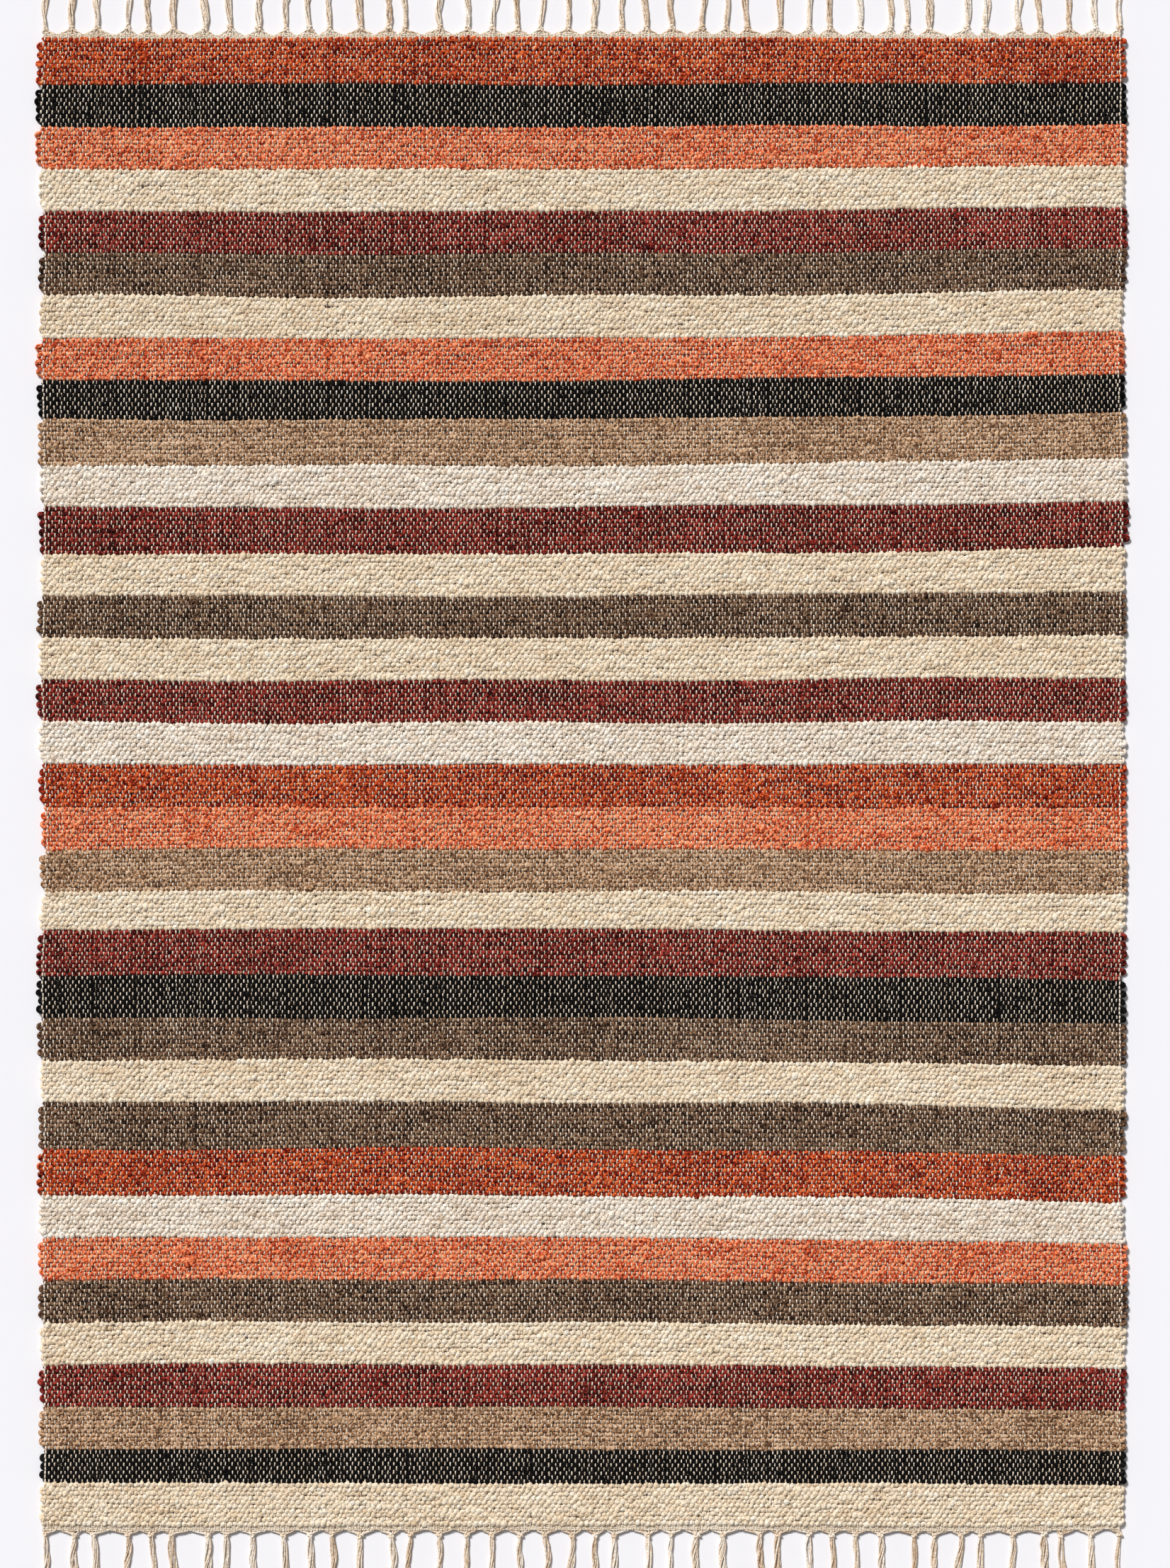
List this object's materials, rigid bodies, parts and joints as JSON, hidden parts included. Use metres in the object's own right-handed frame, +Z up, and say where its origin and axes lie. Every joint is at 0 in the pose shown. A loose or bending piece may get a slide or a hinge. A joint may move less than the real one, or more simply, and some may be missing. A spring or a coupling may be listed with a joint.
{
  "type": "area rug",
  "caption": "Flat-woven striped area rug of thick hand-spun weft over a cotton warp, with a ribbed heading and a row of knotted tassels at each end.",
  "frame": {"origin": "middle of the rug, on the floor under it", "axes": "+X across the rug along the weft, +Y along the warp towards the end that starts with the rust stripe, +Z up out of the face"},
  "size_m": [1.2, 1.7994, 0.0062],
  "materials": {
    "rust_weft": "matte hand-spun cotton weft, rust",
    "black_weft": "matte hand-spun cotton weft, brown-black",
    "coral_weft": "matte hand-spun cotton weft, coral",
    "cream_weft": "matte hand-spun cotton weft, cream",
    "plum_weft": "matte hand-spun cotton weft, plum",
    "walnut_weft": "matte hand-spun cotton weft, walnut brown-grey",
    "taupe_weft": "matte hand-spun cotton weft, taupe",
    "ecru_weft": "matte hand-spun cotton weft, off-white",
    "warp_cotton": "matte twisted undyed cotton warp",
    "heading_cotton": "matte ribbed undyed cotton heading",
    "fringe_cotton": "matte loosely twisted undyed cotton strands"
  },
  "bodies": {
    "lower_half": {"weft_18_rust_lower": "rust_weft", "weft_19_coral": "coral_weft", "weft_20_taupe": "taupe_weft", "weft_21_cream": "cream_weft", "weft_22_plum": "plum_weft", "weft_23_black": "black_weft", "weft_24_walnut": "walnut_weft", "weft_25_cream": "cream_weft", "weft_26_walnut": "walnut_weft", "weft_27_rust": "rust_weft", "weft_28_ecru": "ecru_weft", "weft_29_coral": "coral_weft", "weft_30_walnut": "walnut_weft", "weft_31_cream": "cream_weft", "weft_32_plum": "plum_weft", "weft_33_taupe": "taupe_weft", "weft_34_black": "black_weft", "weft_35_cream": "cream_weft", "heading_bottom": "heading_cotton", "warp_lower": "warp_cotton", "selvedge_cord_left_lower": "warp_cotton", "selvedge_cord_right_lower": "warp_cotton"},
    "upper_half": {"weft_01_rust": "rust_weft", "weft_02_black": "black_weft", "weft_03_coral": "coral_weft", "weft_04_cream": "cream_weft", "weft_05_plum": "plum_weft", "weft_06_walnut": "walnut_weft", "weft_07_cream": "cream_weft", "weft_08_coral": "coral_weft", "weft_09_black": "black_weft", "weft_10_taupe": "taupe_weft", "weft_11_ecru": "ecru_weft", "weft_12_plum": "plum_weft", "weft_13_cream": "cream_weft", "weft_14_walnut": "walnut_weft", "weft_15_cream": "cream_weft", "weft_16_plum": "plum_weft", "weft_17_ecru": "ecru_weft", "weft_18_rust_upper": "rust_weft", "heading_top": "heading_cotton", "warp_upper": "warp_cotton", "selvedge_cord_left_upper": "warp_cotton", "selvedge_cord_right_upper": "warp_cotton"},
    "top_tassels": {"fringe_top": "fringe_cotton"},
    "bottom_tassels": {"fringe_bottom": "fringe_cotton"}
  },
  "joints": [
    {"name": "fold", "type": "hinge", "parent": "lower_half", "child": "upper_half", "pos_m": [0, 0, 0.0142], "axis": [1, 0, 0], "range_deg": [0, 180]},
    {"name": "fringe_top_flip", "type": "hinge", "parent": "upper_half", "child": "top_tassels", "pos_m": [0, 0.82455, 0.0066], "axis": [1, 0, 0], "range_deg": [0, 180]},
    {"name": "fringe_bottom_flip", "type": "hinge", "parent": "lower_half", "child": "bottom_tassels", "pos_m": [0, -0.82455, 0.0066], "axis": [-1, 0, 0], "range_deg": [0, 180]}
  ]
}
